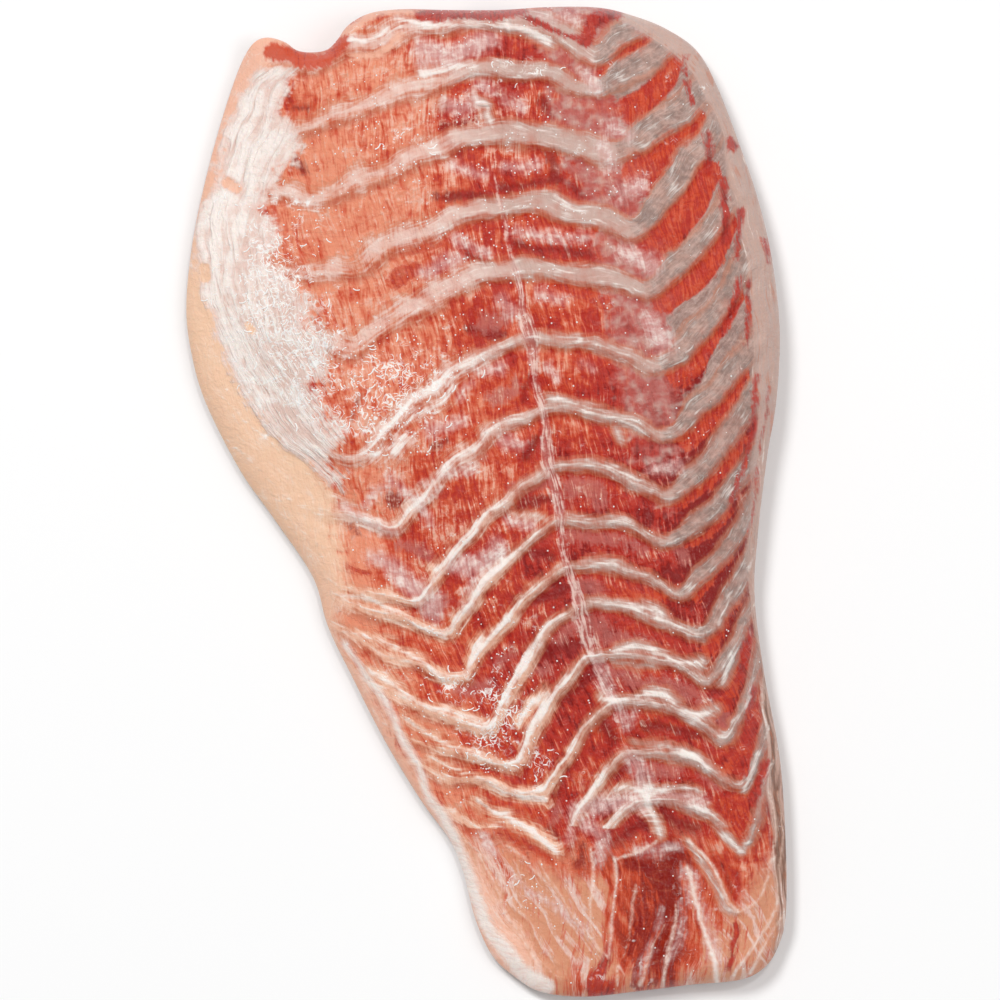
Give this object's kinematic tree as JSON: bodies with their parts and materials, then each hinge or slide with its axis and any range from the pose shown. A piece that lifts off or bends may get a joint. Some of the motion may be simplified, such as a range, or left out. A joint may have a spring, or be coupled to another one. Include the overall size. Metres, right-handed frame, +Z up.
{
  "type": "raw barramundi fillet",
  "caption": "Raw skinless fish fillet lying bone side up, with zigzag muscle bands parted by pale septa, a thin belly flap and a thick back.",
  "frame": {"origin": "centre of the fillet's bounding box in plan, on the flat underside that it lies on", "axes": "+Y towards the head end, +X towards the back (dorsal) edge, +Z up out of the bone side"},
  "size_m": [0.1699, 0.2801, 0.0315],
  "materials": {
    "flesh": "wet raw fish muscle, red to salmon between cream septa, glossy and slightly translucent"
  },
  "bodies": {
    "root": {"fillet": "flesh"}
  },
  "joints": []
}
